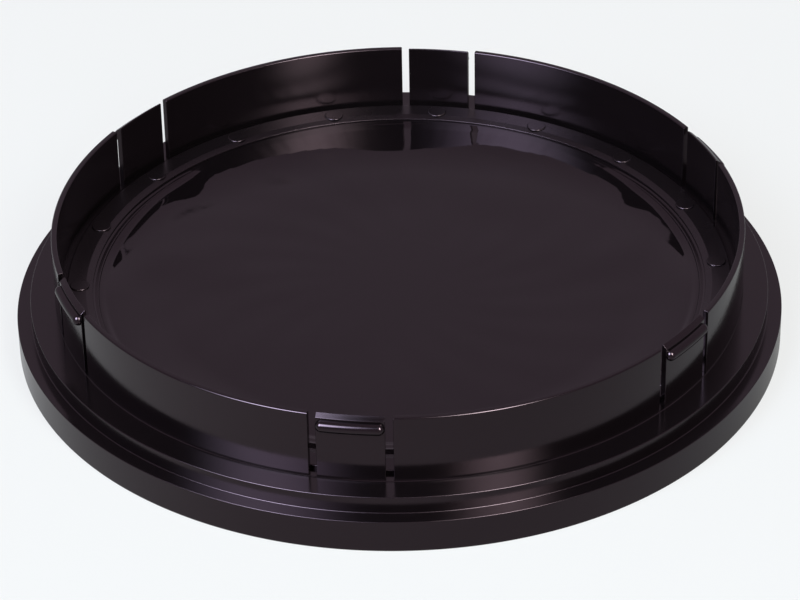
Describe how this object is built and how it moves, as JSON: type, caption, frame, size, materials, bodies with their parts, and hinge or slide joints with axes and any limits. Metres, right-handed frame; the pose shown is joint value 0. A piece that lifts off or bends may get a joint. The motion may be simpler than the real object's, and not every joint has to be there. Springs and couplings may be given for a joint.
{
  "type": "telescope solar filter",
  "caption": "Full-aperture solar filter for a telescope: a black cap cell with a stepped skirt and a thin snap collar that holds a dark solar film under a welded ring.",
  "frame": {"origin": "on the filter's axis, level with the skirt rim that it lies on (sun side down)", "axes": "+Z along the filter's axis, from the sun side towards the telescope; one snap finger is centred on -Y"},
  "size_m": [0.194, 0.194, 0.031],
  "materials": {
    "cell_plastic": "glossy black injection moulding",
    "ring_plastic": "glossy black plastic, a little softer than the cell",
    "black_film": "smooth black polymer film"
  },
  "bodies": {
    "root": {"cell_body": "cell_plastic", "retaining_ring": "ring_plastic", "solar_film": "black_film"}
  },
  "joints": []
}
